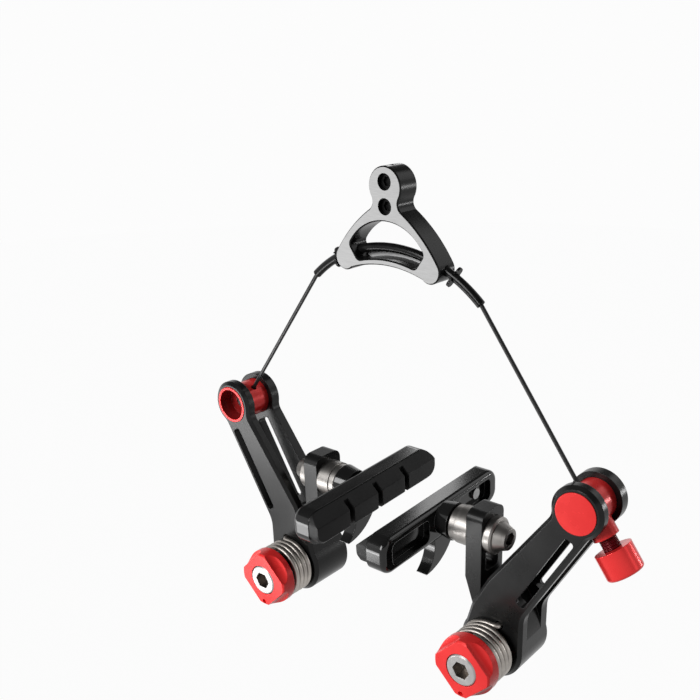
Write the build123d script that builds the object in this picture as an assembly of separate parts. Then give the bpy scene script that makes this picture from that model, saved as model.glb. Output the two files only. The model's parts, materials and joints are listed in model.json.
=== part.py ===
from build123d import *
import os
from math import asin, atan2, cos, degrees, hypot, radians, sin, sqrt

# Cantilever rim brake for one wheel, in millimetres.
# X runs across the wheel to the viewer's right, Y runs back towards the fork and Z runs up.
# The origin is midway between the two pivots, on the plane where the pivot sleeves seat on the frame.
# Every piece that comes in a pair is drawn on the right side and mirrored for the left.

# Cuts run past the faces they open, and joined shapes sink into each other, by these lengths.
cut_past = 1.0
join_sink = 0.1
# Corners nearer than this are one.
same_place = 1e-3

# Pivots
pivot_spacing = 80.0
boss_bore_radius = 4.05
boss_land_length = 9.0
sleeve_relief = 0.3
sleeve_radius = 5.5
bush_wall = 1.4
running_clearance = 0.05

# Arm, seen from the front
barrel_out = 25.2
barrel_up = 51.75
ear_radius = 7.8
ear_neck_radius = 4.0
boss_radius = 10.5
beam_inner_half = 4.4
beam_outer_half = 6.6
root_inner_out = -1.65
root_inner_up = 22.2
root_outer_up = 12.9
root_outer_fillet = 8.0
waist_out = -7.0
waist_up = 12.3
arm_edge = 1.0

# Arm, front to back
arm_back_gap = 0.6
arm_depth = 15.4
ear_thickness = 3.25
clevis_gap = 8.0
clevis_from_tab = 0.6
gap_floor_inner_up = 20.0
gap_ramp_out = 4.0
gap_ramp_up = 17.6
gap_ramp_low = 4.3
gap_ramp_bulge = 1.25
flange_slot_width = 3.1
flange_slot_rim = 1.75
flange_slot_top = 7.9
flange_slot_length = 29.5
flange_slot_corner = 1.0
flange_thin_width = 6.0
flange_thin_depth = 2.0

# Pad tab on the arm
tab_inner_x = 29.4
tab_thickness = 5.5
tab_width = 11.5
tab_top = 40.6
tab_slot_width = 6.4
tab_slot_bottom = 21.0
tab_slot_top_wall = 2.6
tab_corner = 3.0
tab_slot_corner = 1.8
tab_taper_up = 19.0
tab_taper_in = 3.4
tab_foot_up = 9.0
tab_set_back = 0.6

# Spring tension nut and mounting bolt
nut_sides = 4
nut_first_side = 45.0
nut_flats = 15.2
nut_rim_radius = 9.5
nut_edge = 0.5
nut_length = 5.2
nut_rim_length = 1.7
nut_runout_radius = 3.0
nut_notch_radius = 0.8
nut_notch_depth = 1.6
nut_notch_reach = 8.2
bolt_head_radius = 5.05
bolt_head_length = 4.2
bolt_head_clearance = 0.15
bolt_head_proud = 0.2
bolt_head_edge = 0.4
bolt_shank_radius = 3.0
bolt_shank_clearance = 0.1
bolt_length = 15.0
bolt_socket_flats = 5.0
bolt_socket_depth = 3.6

# Return spring
spring_length = 9.2
spring_wire_radius = 0.88
spring_outer_radius = 9.2
spring_turns = 4.0
spring_end_gap = 0.2
spring_leg_length = 3.0
spring_leg_depth = 2.4
spring_bend_radius = 1.2
spring_hole_clearance = 0.5
spring_hole_past_leg = 0.6

# Barrels in the clevis
barrel_radius = 6.05
barrel_clearance = 0.05
barrel_proud = 0.2
anchor_counterbore_radius = 5.2
anchor_counterbore_depth = 4.8
anchor_screw_radius = 2.5
anchor_screw_length = 1.5
anchor_socket_flats = 2.5
anchor_socket_depth = 1.0

# Barrel adjuster on the right
tube_radius = 3.75
tube_length = 9.8
stem_radius = 2.5
stem_clearance = 0.05
stem_inner_end = 4.8
knob_gap = 3.5
knob_radius = 5.45
knob_length = 7.7
knob_edge = 0.9
head_radius = 2.2
head_length = 3.2
head_clearance = 0.1
head_seat_wall = 3.0
head_cable_length = 6.6
adjuster_feed = 2.4

# Straddle cable and guide sleeve
cable_radius = 0.62
cable_clearance = 0.3
guide_radius = 1.3
guide_wall = 0.5
guide_arc_radius = 44.0
guide_arc_top = 111.6
guide_end_x = 29.6
guide_mouth_radius = 1.12
guide_mouth_depth = 2.2
guide_bore_overrun = 0.02
cable_entry = 0.8
cable_end_gap = 0.3
anchor_cable_past = 4.0

# Hanger
hanger_thickness = 7.4
hanger_head_radius = 5.6
hanger_head_up = 128.6
hanger_top_hole_up = 130.0
hanger_hole_spacing = 6.6
hanger_hole_radius = 2.3
hanger_waist_fillet = 2.7
hanger_tip_radius = 3.5
hanger_tip_x = 15.0
hanger_tip_up = 107.6
hanger_shoulder_x = 5.4
hanger_shoulder_up = 122.4
hanger_side_bulge = 0.95
hanger_tip_tangent = 33.0
hanger_belly_up = 107.2
hanger_window_top = 119.4
hanger_window_half = 13.2
hanger_window_side_up = 111.7
hanger_window_corner_x = 10.2
hanger_window_corner_up = 107.4
hanger_window_floor_up = 108.9
hanger_window_fillet = 1.6
hanger_lip_half = 12.5
hanger_lip_top_drop = 1.2
hanger_lip_root_drop = 3.4
hanger_lip_gap = 0.4
hanger_edge = 0.35
guide_hole_clearance = 0.05
main_cable_hole_radius = 1.0
hanger_screw_clearance = 0.05
hanger_screw_length = 1.3
hanger_screw_socket_flats = 2.5
hanger_screw_socket_depth = 0.9

# Retaining clips on the guide sleeve
clip_thickness = 0.7
clip_radius = 1.95
clip_lobe_radius = 1.25
clip_lobe_reach = 1.85
clip_lobe_angle = 62.0
clip_mouth_angle = 152.0
clip_stand_off = 2.3
clip_mouth = 1.5
clip_clearance = 0.03

# Pads
pad_bolt_up = 32.4
pad_face_x = 7.4
pad_length = 58.0
pad_drop = 1.0
pad_pitch = 2.0
insert_thickness = 6.6
insert_height = 9.4
insert_end_bevel = 6.0
insert_end_bevel_depth = 3.0
insert_groove_width = 1.5
insert_groove_depth = 2.4
insert_groove_spacing = 12.0
insert_edge = 0.8
insert_bevel_width = 3.4
insert_bevel_drop = 2.8
holder_overlap = 2.8
holder_wall = 1.0
holder_back = 3.6
holder_corner = 4.2
holder_edge = 1.6
insert_clearance = 0.05
pocket_depth = 2.2
pocket_length = 17.5
pocket_height = 7.4
pocket_corner = 2.0
pocket_from_bolt = 7.5
holder_boss_radius = 6.0
holder_boss_root_radius = 5.2
holder_boss_length = 4.6
horn_thickness = 4.0
horn_drop = 10.0
horn_reach = 9.5
horn_root_half = 5.2
horn_root_sink = 1.0
horn_front_bow = 0.4
horn_front_bow_down = 5.0
horn_back_bow = 0.3
horn_back_bow_down = 6.6
retainer_radius = 1.3
retainer_head_radius = 1.8
retainer_head_length = 0.9
retainer_from_bolt = 19.0
retainer_bite = 1.5

# Pad clamp
pad_bolt_radius = 2.95
pad_bolt_clearance = 0.08
pad_bolt_bite = 2.6
pad_bolt_end_gap = 0.5
dome_washer_radius = 5.9
cup_washer_radius = 5.6
cup_washer_length = 2.6
cup_washer_edge = 0.7
dome_sphere_radius = 11.0
washer_bore_clearance = 0.15
washer_seat_gap = 0.02
dome_edge_gap = 0.1
outer_washer_radius = 5.7
outer_washer_length = 2.6
outer_washer_edge = 0.5
pad_head_radius = 4.6
pad_head_tip_radius = 3.3
pad_head_length = 3.4
pad_socket_flats = 4.0
pad_socket_depth = 4.0

# Places that follow from the sizes above
pivot_x = pivot_spacing / 2
arm_back = -arm_back_gap
arm_front = arm_back - arm_depth
front_ear_back = arm_front + ear_thickness
back_ear_front = front_ear_back + clevis_gap
back_ear_back = back_ear_front + ear_thickness
mid_y = (front_ear_back + back_ear_front) / 2
ear_x = pivot_x + barrel_out
ear_z = barrel_up
bush_bore_radius = sleeve_radius + running_clearance
bush_radius = bush_bore_radius + bush_wall
spring_back = arm_front - spring_end_gap
spring_front = spring_back - spring_length
nut_back = spring_front - spring_end_gap
nut_front = nut_back - nut_length
tab_outer_x = tab_inner_x + tab_thickness
tab_y = mid_y + tab_set_back
guide_arc_z = guide_arc_top - guide_arc_radius
guide_end_angle = asin(guide_end_x / guide_arc_radius)
guide_end_z = guide_arc_z + guide_arc_radius * cos(guide_end_angle)
cable_run = hypot(ear_x - guide_end_x, guide_end_z - ear_z)
cable_dx = (ear_x - guide_end_x) / cable_run
cable_dz = (ear_z - guide_end_z) / cable_run
# Distances along the cable are counted from the right barrel's axis, outwards and down.
cable_plane = Plane(
    origin=(ear_x, mid_y, ear_z), x_dir=(0, 1, 0), z_dir=(cable_dx, 0, cable_dz)
)
knob_start = tube_length + knob_gap
knob_end = knob_start + knob_length
head_start = knob_start + head_seat_wall
head_cable_start = head_start - head_cable_length
right_leg_end = head_cable_start - adjuster_feed - cable_end_gap
holder_front_x = pad_face_x + insert_thickness - holder_overlap
insert_back_x = pad_face_x + insert_thickness
holder_back_x = insert_back_x + holder_back
boss_face_x = holder_back_x + holder_boss_length
holder_height = insert_height + 2 * holder_wall
pad_y = tab_y
pad_z = pad_bolt_up - pad_drop


def box_between(x0, x1, y0, y1, z0, z1):
    """A box from its two corners."""
    return Pos((x0 + x1) / 2, (y0 + y1) / 2, (z0 + z1) / 2) * Box(x1 - x0, y1 - y0, z1 - z0)


def rod_y(radius, y0, y1, x, z):
    """A cylinder along Y."""
    return Pos(x, (y0 + y1) / 2, z) * Rot(90, 0, 0) * Cylinder(radius, y1 - y0)


def rod_x(radius, x0, x1, y, z):
    """A cylinder along X."""
    return Pos((x0 + x1) / 2, y, z) * Rot(0, 90, 0) * Cylinder(radius, x1 - x0)


def rod_on(plane, radius, t0, t1):
    """A cylinder on a plane's normal, from distance t0 to t1."""
    return plane * Pos(0, 0, (t0 + t1) / 2) * Cylinder(radius, t1 - t0)


def slab_xz(sketch, y0, y1):
    """A sketch drawn in X and Z, made solid between two Y values."""
    return extrude(Plane.XZ.offset(-y0) * sketch, amount=-(y1 - y0))


def slab_yz(sketch, x0, x1):
    """A sketch drawn in Y and Z, made solid between two X values."""
    return extrude(Plane.YZ.offset(x0) * sketch, amount=x1 - x0)


def slab_xy(sketch, z0, z1):
    """A sketch drawn in X and Y, made solid between two Z values."""
    return extrude(Plane.XY.offset(z0) * sketch, amount=z1 - z0)


def hexagon(flats):
    """A hexagon given by its width across flats."""
    return RegularPolygon(flats / 2, 6, major_radius=False)


def left_of(shape):
    """The left-hand copy of a right-hand piece."""
    return mirror(shape, about=Plane.YZ)


# Arm

def beam_frame():
    """Unit direction of the arm's beam, from its root to the ear, in X and Z."""
    root_x = pivot_x + (root_inner_out + boss_radius) / 2
    root_z = (root_inner_up + root_outer_up) / 2
    run = hypot(ear_x - root_x, ear_z - root_z)
    return (ear_x - root_x) / run, (ear_z - root_z) / run


def arm_outline():
    """The arm seen from the front: boss, tapered beam and round ear with a hollow neck."""
    along_x, along_z = beam_frame()
    ear_inner = (ear_x - along_z * beam_inner_half, ear_z + along_x * beam_inner_half)
    ear_outer = (ear_x + along_z * beam_outer_half, ear_z - along_x * beam_outer_half)
    beam = make_face(Polyline(
        ear_inner,
        ear_outer,
        (pivot_x + boss_radius, root_outer_up),
        (pivot_x + boss_radius, 0),
        (pivot_x - boss_radius, 0),
        (pivot_x + waist_out, waist_up),
        (pivot_x + root_inner_out, root_inner_up),
        close=True,
    ))
    outline = beam + Pos(pivot_x, 0) * Circle(boss_radius) + Pos(ear_x, ear_z) * Circle(ear_radius)
    necks = [
        corner
        for corner in outline.vertices()
        if abs(hypot(corner.X - ear_x, corner.Y - ear_z) - ear_radius) < same_place
        and corner.Y < ear_z
    ]
    outline = fillet(necks, ear_neck_radius)
    root = outline.vertices().sort_by_distance((pivot_x + boss_radius, root_outer_up))[0]
    return fillet(root, root_outer_fillet)


def clevis_cut():
    """The gap between the two flanges, open at the ear, with a floor that rolls over to the arm's side."""
    far = ear_radius * 3
    along_x, along_z = beam_frame()
    side_x = pivot_x + boss_radius
    floor_inner = (tab_outer_x + clevis_from_tab, gap_floor_inner_up)
    ramp_top = (pivot_x + gap_ramp_out, gap_ramp_up)
    ramp_low = (side_x, gap_ramp_low)
    run = boss_radius - gap_ramp_out
    drop = gap_ramp_up - gap_ramp_low
    chord = hypot(run, drop)
    ramp_middle = (
        side_x - run / 2 + gap_ramp_bulge * drop / chord,
        gap_ramp_low + drop / 2 + gap_ramp_bulge * run / chord,
    )
    edges = Line(floor_inner, ramp_top)
    edges += ThreePointArc(ramp_top, ramp_middle, ramp_low)
    edges += Polyline(
        ramp_low,
        (side_x + far, gap_ramp_low),
        (ear_x + far + along_x * far, ear_z + along_z * far),
        (ear_x - far, ear_z + along_z * far),
        (tab_outer_x + clevis_from_tab, ear_z),
        floor_inner,
    )
    return slab_xz(make_face(edges), front_ear_back, back_ear_front)


def flange_slot(width, y0, y1):
    """A long opening beside the beam's outer edge, cut between two Y values."""
    along_x, along_z = beam_frame()
    outer_x = ear_x + along_z * beam_outer_half
    outer_z = ear_z - along_x * beam_outer_half
    edge_x = pivot_x + boss_radius - outer_x
    edge_z = root_outer_up - outer_z
    edge_run = hypot(edge_x, edge_z)
    down_x = edge_x / edge_run
    down_z = edge_z / edge_run
    inset = flange_slot_rim + width / 2
    middle = flange_slot_top + flange_slot_length / 2
    centre_x = outer_x + down_x * middle + down_z * inset
    centre_z = outer_z + down_z * middle - down_x * inset
    slot = RectangleRounded(flange_slot_length, width, flange_slot_corner)
    turned = Rot(0, 0, degrees(atan2(down_z, down_x))) * slot
    return slab_xz(Pos(centre_x, centre_z) * turned, y0, y1)


def pad_tab():
    """The upright slotted tab that carries the pad."""
    blank = tab_top + 2 * tab_corner
    face = Pos(tab_y, tab_top - blank / 2) * RectangleRounded(tab_width, blank, tab_corner)
    upright = slab_yz(face, tab_inner_x - cut_past, tab_outer_x + cut_past)
    side = make_face(Polyline(
        (tab_inner_x, tab_top + cut_past),
        (tab_outer_x, tab_top + cut_past),
        (tab_outer_x, 0),
        (tab_inner_x + tab_taper_in, 0),
        (tab_inner_x + tab_taper_in, tab_foot_up),
        (tab_inner_x, tab_taper_up),
        close=True,
    ))
    tab = upright & slab_xz(side, tab_y - tab_width, tab_y + tab_width)
    slot_top = tab_top - tab_slot_top_wall
    slot = RectangleRounded(tab_slot_width, slot_top - tab_slot_bottom, tab_slot_corner)
    hole = slab_yz(
        Pos(tab_y, (slot_top + tab_slot_bottom) / 2) * slot,
        tab_inner_x - cut_past,
        tab_outer_x + cut_past,
    )
    return tab - hole


def spring_hole_place():
    """Where the spring's leg enters the arm's front face."""
    reach = hypot(spring_outer_radius - spring_wire_radius, spring_leg_length)
    angle = atan2(spring_leg_length, spring_outer_radius - spring_wire_radius)
    return pivot_x + reach * sin(angle), reach * cos(angle)


def arm():
    """The right arm, one piece."""
    outline = arm_outline()
    body = slab_xz(outline, arm_front, back_ear_back)
    front_edges = body.faces().sort_by(Axis.Y)[0].edges()
    body = chamfer(front_edges, arm_edge)
    body += rod_y(boss_radius, back_ear_back - join_sink, arm_back, pivot_x, 0)
    body -= clevis_cut()
    body -= flange_slot(flange_slot_width, arm_front - cut_past, arm_back + cut_past)
    # Inside, the flanges are thinner round their slots.
    thin_front = front_ear_back - flange_thin_depth
    thin_back = back_ear_front + flange_thin_depth
    body -= flange_slot(flange_thin_width, thin_front, thin_back)
    body += pad_tab()
    body -= rod_y(bush_radius, arm_front - cut_past, arm_back + cut_past, pivot_x, 0)
    body -= rod_y(barrel_radius + barrel_clearance, arm_front - cut_past, arm_back + cut_past, ear_x, ear_z)
    hole_x, hole_z = spring_hole_place()
    hole_radius = spring_wire_radius + spring_hole_clearance
    hole_end = arm_front + spring_leg_depth + spring_hole_past_leg
    body -= rod_y(hole_radius, arm_front - cut_past, hole_end, hole_x, hole_z)
    return body


def arm_bush():
    """The plain bearing in the arm's boss."""
    tube = rod_y(bush_radius, arm_front, arm_back, pivot_x, 0)
    return tube - rod_y(bush_bore_radius, arm_front - cut_past, arm_back + cut_past, pivot_x, 0)


# Pivot pieces

def pivot_sleeve():
    """The fixed tube that slips over the frame's boss."""
    tube = rod_y(sleeve_radius, nut_back, 0, pivot_x, 0)
    tube -= rod_y(boss_bore_radius, -boss_land_length, 1, pivot_x, 0)
    return tube - rod_y(
        boss_bore_radius + sleeve_relief, nut_back - cut_past, -boss_land_length, pivot_x, 0
    )


def mounting_bolt():
    """Flat-headed bolt with a hexagon socket."""
    head_front = nut_front - bolt_head_proud
    head_back = head_front + bolt_head_length
    bolt = rod_y(bolt_head_radius, head_front, head_back, pivot_x, 0)
    bolt = chamfer(bolt.faces().sort_by(Axis.Y)[0].edges(), bolt_head_edge)
    bolt += rod_y(bolt_shank_radius, head_back, head_back + bolt_length, pivot_x, 0)
    socket = Pos(pivot_x, 0) * hexagon(bolt_socket_flats)
    return bolt - slab_xz(socket, head_front - cut_past, head_front + bolt_socket_depth)


def tension_nut():
    """Round nut with flats milled from the front, which run out before its back rim."""
    nut = rod_y(nut_rim_radius, nut_front, nut_back, pivot_x, 0)
    nut = chamfer(nut.faces().sort_by(Axis.Y)[0].edges(), nut_edge)
    flat_end = nut_back - nut_rim_length
    run_centre = flat_end - nut_runout_radius
    wide = nut_rim_radius * 2
    out = nut_flats / 2 + nut_runout_radius
    cutter = box_between(-wide, wide, nut_front - cut_past, run_centre, nut_flats / 2, wide)
    cutter += box_between(-wide, wide, run_centre - join_sink, flat_end, out, wide)
    cutter += rod_x(nut_runout_radius, -wide, wide, run_centre, out)
    for side in range(nut_sides):
        turn = nut_first_side + side * 360 / nut_sides
        nut -= Pos(pivot_x, 0, 0) * Rot(0, turn, 0) * cutter
    head_back = nut_front - bolt_head_proud + bolt_head_length
    nut -= rod_y(bolt_head_radius + bolt_head_clearance, nut_front - cut_past, head_back, pivot_x, 0)
    nut -= rod_y(bolt_shank_radius + bolt_shank_clearance, nut_front, nut_back + cut_past, pivot_x, 0)
    nut -= rod_y(
        nut_notch_radius, nut_front - cut_past, nut_front + nut_notch_depth, pivot_x, -nut_notch_reach
    )
    return nut


def return_spring():
    """One wire: a close-wound coil, then a leg that runs out and bends into the arm's front face."""
    mean = spring_outer_radius - spring_wire_radius
    height = spring_length - 2 * spring_wire_radius
    # The coil rises along its own Z and ends at its own +X, and the leg leaves it along +Y.
    coil = Helix(height / spring_turns, height, mean)
    leave = coil % 1
    hole_x, _ = spring_hole_place()
    slope = leave.Z / leave.Y
    bend_y = hole_x - pivot_x
    bend_start = Vector(mean, bend_y - spring_bend_radius, height + slope * (bend_y - spring_bend_radius))
    bend_end = Vector(mean, bend_y, bend_start.Z + spring_bend_radius)
    leg_end = Vector(mean, bend_y, height + spring_wire_radius + spring_end_gap + spring_leg_depth)
    leg = Line(coil @ 1, bend_start)
    bend = TangentArc(bend_start, bend_end, tangent=leave)
    tip = Line(bend @ 1, leg_end)
    wire = Wire([coil.edge(), leg.edge(), bend.edge(), tip.edge()])
    section = Plane(origin=coil @ 0, z_dir=coil % 0) * Circle(spring_wire_radius)
    spring = sweep(section, path=wire)
    # Its own X, Y and Z become Z, X and Y.
    spring = Rot(0, -90, 0) * Rot(-90, 0, 0) * spring
    return Pos(pivot_x, spring_front + spring_wire_radius, 0) * spring


# Barrels and adjuster

def barrel_blank():
    """The barrel that turns in the clevis ears."""
    return rod_y(barrel_radius, arm_front - barrel_proud, back_ear_back + barrel_proud, ear_x, ear_z)


def anchor_barrel():
    """The cable's anchor, drawn on the right: hollow front, screw thread and cable hole."""
    front = arm_front - barrel_proud
    barrel = barrel_blank()
    barrel -= rod_y(
        anchor_counterbore_radius, front - cut_past, front + anchor_counterbore_depth, ear_x, ear_z
    )
    barrel -= rod_y(anchor_screw_radius, front, mid_y, ear_x, ear_z)
    hole = rod_on(cable_plane, cable_radius + cable_clearance, -barrel_radius - cut_past, anchor_cable_past)
    return barrel - hole


def anchor_screw():
    """The screw that pinches the cable in the anchor barrel."""
    tip = mid_y - cable_radius - cable_clearance
    start = tip - anchor_screw_length
    screw = rod_y(anchor_screw_radius, start, tip, ear_x, ear_z)
    socket = Pos(ear_x, ear_z) * hexagon(anchor_socket_flats)
    return screw - slab_xz(socket, start - cut_past, start + anchor_socket_depth)


def adjuster_barrel():
    """The plain-faced barrel that carries the adjuster."""
    barrel = barrel_blank()
    barrel -= rod_on(cable_plane, tube_radius, 0, barrel_radius + cut_past)
    return barrel - rod_on(
        cable_plane, cable_radius + cable_clearance, -barrel_radius - cut_past, barrel_radius
    )


def adjuster_tube():
    """The threaded tube that stands out of the barrel."""
    tube = rod_on(cable_plane, tube_radius, 0, tube_length)
    return tube - rod_on(cable_plane, stem_radius + stem_clearance, -cut_past, tube_length + cut_past)


def adjuster_knob():
    """Knob with a rounded far end and its threaded stem, in one piece, bored for the cable and its head."""
    knob = rod_on(cable_plane, knob_radius, knob_start, knob_end)
    knob = fillet(knob.edges().filter_by(GeomType.CIRCLE).sort_by(Axis.Z)[0], knob_edge)
    knob += rod_on(cable_plane, stem_radius, stem_inner_end, knob_start)
    knob -= rod_on(cable_plane, cable_radius + cable_clearance, 0, knob_end)
    return knob - rod_on(cable_plane, head_radius + head_clearance, head_start, knob_end + cut_past)


def cable_head():
    """The cast head inside the knob and the cable's last stretch, which the adjuster feeds."""
    head = rod_on(cable_plane, head_radius, head_start, head_start + head_length)
    return head + rod_on(cable_plane, cable_radius, head_cable_start, head_start + join_sink)


# Straddle cable

def guide_arc(angle_end):
    """The guide's arc in its own plane, from the left to the right end angle."""
    reach = guide_arc_radius
    start = (-reach * sin(angle_end), mid_y, guide_arc_z + reach * cos(angle_end))
    end = (reach * sin(angle_end), mid_y, guide_arc_z + reach * cos(angle_end))
    return ThreePointArc(start, (0, mid_y, guide_arc_top), end)


def arc_rod(radius, angle_end):
    """A round rod along the guide's arc."""
    path = guide_arc(angle_end)
    section = Plane(origin=path @ 0, z_dir=path % 0) * Circle(radius)
    return sweep(section, path=path)


def guide_sleeve():
    """The bent guide tube, with a wider mouth at each end."""
    sleeve = arc_rod(guide_radius, guide_end_angle)
    sleeve -= arc_rod(guide_radius - guide_wall, guide_end_angle + guide_bore_overrun)
    end_plane = Plane(
        origin=(guide_end_x, mid_y, guide_end_z),
        x_dir=(0, 1, 0),
        z_dir=(cos(guide_end_angle), 0, -sin(guide_end_angle)),
    )
    mouth = rod_on(end_plane, guide_mouth_radius, -guide_mouth_depth, 1)
    return sleeve - mouth - left_of(mouth)


def cable_middle():
    """The cable's run inside the guide sleeve."""
    inner_end = guide_end_angle - (guide_mouth_depth + cable_end_gap) / guide_arc_radius
    return arc_rod(cable_radius, inner_end)


def cable_leg(past_axis):
    """A straight leg from the guide's mouth to a distance past the barrel's axis, on the right."""
    return rod_on(cable_plane, cable_radius, -cable_run - cable_entry, past_axis)


# Hanger

def hanger_outline():
    """The hanger seen from the front: round head, waist, two bulging wings and an arched belly."""
    shoulder_x = hanger_shoulder_x
    shoulder_z = hanger_shoulder_up
    tangent = radians(hanger_tip_tangent)
    side_x = hanger_tip_x + hanger_tip_radius * cos(tangent)
    side_z = hanger_tip_up + hanger_tip_radius * sin(tangent)
    chord = hypot(side_x - shoulder_x, shoulder_z - side_z)
    bulge_x = (side_x + shoulder_x) / 2 + hanger_side_bulge * (shoulder_z - side_z) / chord
    bulge_z = (side_z + shoulder_z) / 2 + hanger_side_bulge * (side_x - shoulder_x) / chord
    low_z = hanger_tip_up - hanger_tip_radius
    edges = ThreePointArc((side_x, side_z), (bulge_x, bulge_z), (shoulder_x, shoulder_z))
    edges += Polyline((shoulder_x, shoulder_z), (0, hanger_head_up), (-shoulder_x, shoulder_z))
    edges += ThreePointArc((-shoulder_x, shoulder_z), (-bulge_x, bulge_z), (-side_x, side_z))
    edges += Polyline((-side_x, side_z), (-hanger_tip_x, hanger_tip_up), (-hanger_tip_x, low_z))
    edges += ThreePointArc((-hanger_tip_x, low_z), (0, hanger_belly_up), (hanger_tip_x, low_z))
    edges += Polyline((hanger_tip_x, low_z), (hanger_tip_x, hanger_tip_up), (side_x, side_z))
    outline = make_face(edges)
    outline += Pos(0, hanger_head_up) * Circle(hanger_head_radius)
    for side in (-1, 1):
        outline += Pos(side * hanger_tip_x, hanger_tip_up) * Circle(hanger_tip_radius)
    waist = [
        corner
        for corner in outline.vertices()
        if abs(hypot(corner.X, corner.Y - hanger_head_up) - hanger_head_radius) < same_place
        and corner.Y < hanger_head_up
    ]
    return fillet(waist, hanger_waist_fillet)


def hanger_window():
    """The half-moon window."""
    edges = ThreePointArc(
        (-hanger_window_half, hanger_window_side_up),
        (0, hanger_window_top),
        (hanger_window_half, hanger_window_side_up),
    )
    right_side = (hanger_window_half, hanger_window_side_up)
    right_low = (hanger_window_corner_x, hanger_window_corner_up)
    left_side = (-hanger_window_half, hanger_window_side_up)
    left_low = (-hanger_window_corner_x, hanger_window_corner_up)
    edges += Line(right_side, right_low)
    edges += ThreePointArc(right_low, (0, hanger_window_floor_up), left_low)
    edges += Line(left_low, left_side)
    window = make_face(edges)
    return fillet(window.vertices(), hanger_window_fillet)


def hanger_lip():
    """The outline of the lip along the back of the window's floor, concentric with the guide."""
    top = Circle(guide_arc_radius - hanger_lip_top_drop)
    root = Circle(guide_arc_radius - hanger_lip_root_drop)
    ring = Pos(0, guide_arc_z) * (top - root)
    return ring & Pos(0, hanger_window_floor_up) * Rectangle(2 * hanger_lip_half, 2 * hanger_lip_half)


def hanger():
    """The yoke that the main cable lifts."""
    front = mid_y - hanger_thickness / 2
    back = mid_y + hanger_thickness / 2
    body = slab_xz(hanger_outline() - hanger_window(), front, back)
    rims = body.faces().sort_by(Axis.Y)[0].edges() + body.faces().sort_by(Axis.Y)[-1].edges()
    body = chamfer(rims, hanger_edge)
    body += slab_xz(hanger_lip(), mid_y + guide_radius + hanger_lip_gap, back - hanger_edge)
    for hole_z in (hanger_top_hole_up, hanger_top_hole_up - hanger_hole_spacing):
        body -= rod_y(hanger_hole_radius, front - cut_past, back + cut_past, 0, hole_z)
    hole_low = hanger_window_top - cut_past
    hole_high = hanger_head_up + hanger_head_radius + cut_past
    body -= Pos(0, mid_y, (hole_low + hole_high) / 2) * Cylinder(
        main_cable_hole_radius, hole_high - hole_low
    )
    return body - arc_rod(guide_radius + guide_hole_clearance, guide_end_angle)


def hanger_screws():
    """The two screws that pinch the main cable, one in each cross hole."""
    radius = hanger_hole_radius - hanger_screw_clearance
    tip = mid_y - main_cable_hole_radius - hanger_screw_clearance
    start = tip - hanger_screw_length
    screws = []
    for hole_z in (hanger_top_hole_up, hanger_top_hole_up - hanger_hole_spacing):
        screw = rod_y(radius, start, tip, 0, hole_z)
        socket = Pos(0, hole_z) * hexagon(hanger_screw_socket_flats)
        screws.append(screw - slab_xz(socket, start - cut_past, start + hanger_screw_socket_depth))
    return Compound(children=[Solid(screw.solid().wrapped) for screw in screws])


def retaining_clip():
    """The spring clip round the guide sleeve beside the right wing."""
    wing_x = hanger_tip_x + hanger_tip_radius
    place_x = wing_x + clip_stand_off
    angle = asin(place_x / guide_arc_radius)
    plane = Plane(
        origin=(place_x, mid_y, guide_arc_z + guide_arc_radius * cos(angle)),
        x_dir=(0, 1, 0),
        z_dir=(cos(angle), 0, -sin(angle)),
    )
    flat = Circle(clip_radius)
    for turn in (clip_lobe_angle, clip_lobe_angle + 180):
        flat += Rot(0, 0, turn) * Pos(clip_lobe_reach, 0) * Circle(clip_lobe_radius)
    flat -= Circle(guide_radius + clip_clearance)
    flat -= Rot(0, 0, clip_mouth_angle) * Pos(clip_radius, 0) * Rectangle(2 * clip_radius, clip_mouth)
    return extrude(plane * flat, amount=clip_thickness / 2, both=True)


# Pads

def pitched(shape):
    """A pad piece turned about the pad bolt, front end down."""
    bolt = Pos(0, pad_y, pad_bolt_up)
    return bolt * Rot(pad_pitch, 0, 0) * bolt.inverse() * shape


def pad_insert():
    """The rubber block: bevelled ends, a broad slope on top and three cross grooves on the rim face."""
    half = pad_length / 2
    front = pad_y - half
    back = pad_y + half
    plan = make_face(Polyline(
        (insert_back_x, front + holder_wall),
        (pad_face_x + insert_end_bevel_depth, front + holder_wall),
        (pad_face_x, front + insert_end_bevel),
        (pad_face_x, back - insert_end_bevel),
        (pad_face_x + insert_end_bevel_depth, back - holder_wall),
        (insert_back_x, back - holder_wall),
        close=True,
    ))
    low = pad_z - insert_height / 2
    high = pad_z + insert_height / 2
    block = slab_xy(plan, low, high)
    outline = Pos(pad_y, pad_z) * RectangleRounded(
        pad_length - 2 * holder_wall, insert_height, holder_corner - holder_wall
    )
    block &= slab_yz(outline, pad_face_x - cut_past, insert_back_x)
    rim_face = block.faces().filter_by(Axis.X).sort_by(Axis.X)[0]
    block = chamfer(rim_face.edges().filter_by(Axis.Y).sort_by(Axis.Z)[0], insert_edge)
    past_x = cut_past
    past_z = cut_past * insert_bevel_drop / insert_bevel_width
    slope = make_face(Polyline(
        (pad_face_x - past_x, high - insert_bevel_drop - past_z),
        (pad_face_x + insert_bevel_width + past_x, high + past_z),
        (pad_face_x - past_x, high + past_z),
        close=True,
    ))
    block -= slab_xz(slope, front, back)
    for step in (-1, 0, 1):
        place = pad_y + step * insert_groove_spacing
        block -= box_between(
            pad_face_x - cut_past, pad_face_x + insert_groove_depth,
            place - insert_groove_width / 2, place + insert_groove_width / 2,
            low - cut_past, high + cut_past,
        )
    retainer_y = pad_y + retainer_from_bolt
    block -= rod_x(
        retainer_radius, insert_back_x - retainer_bite, insert_back_x + cut_past, retainer_y, pad_z
    )
    return pitched(block)


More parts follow.
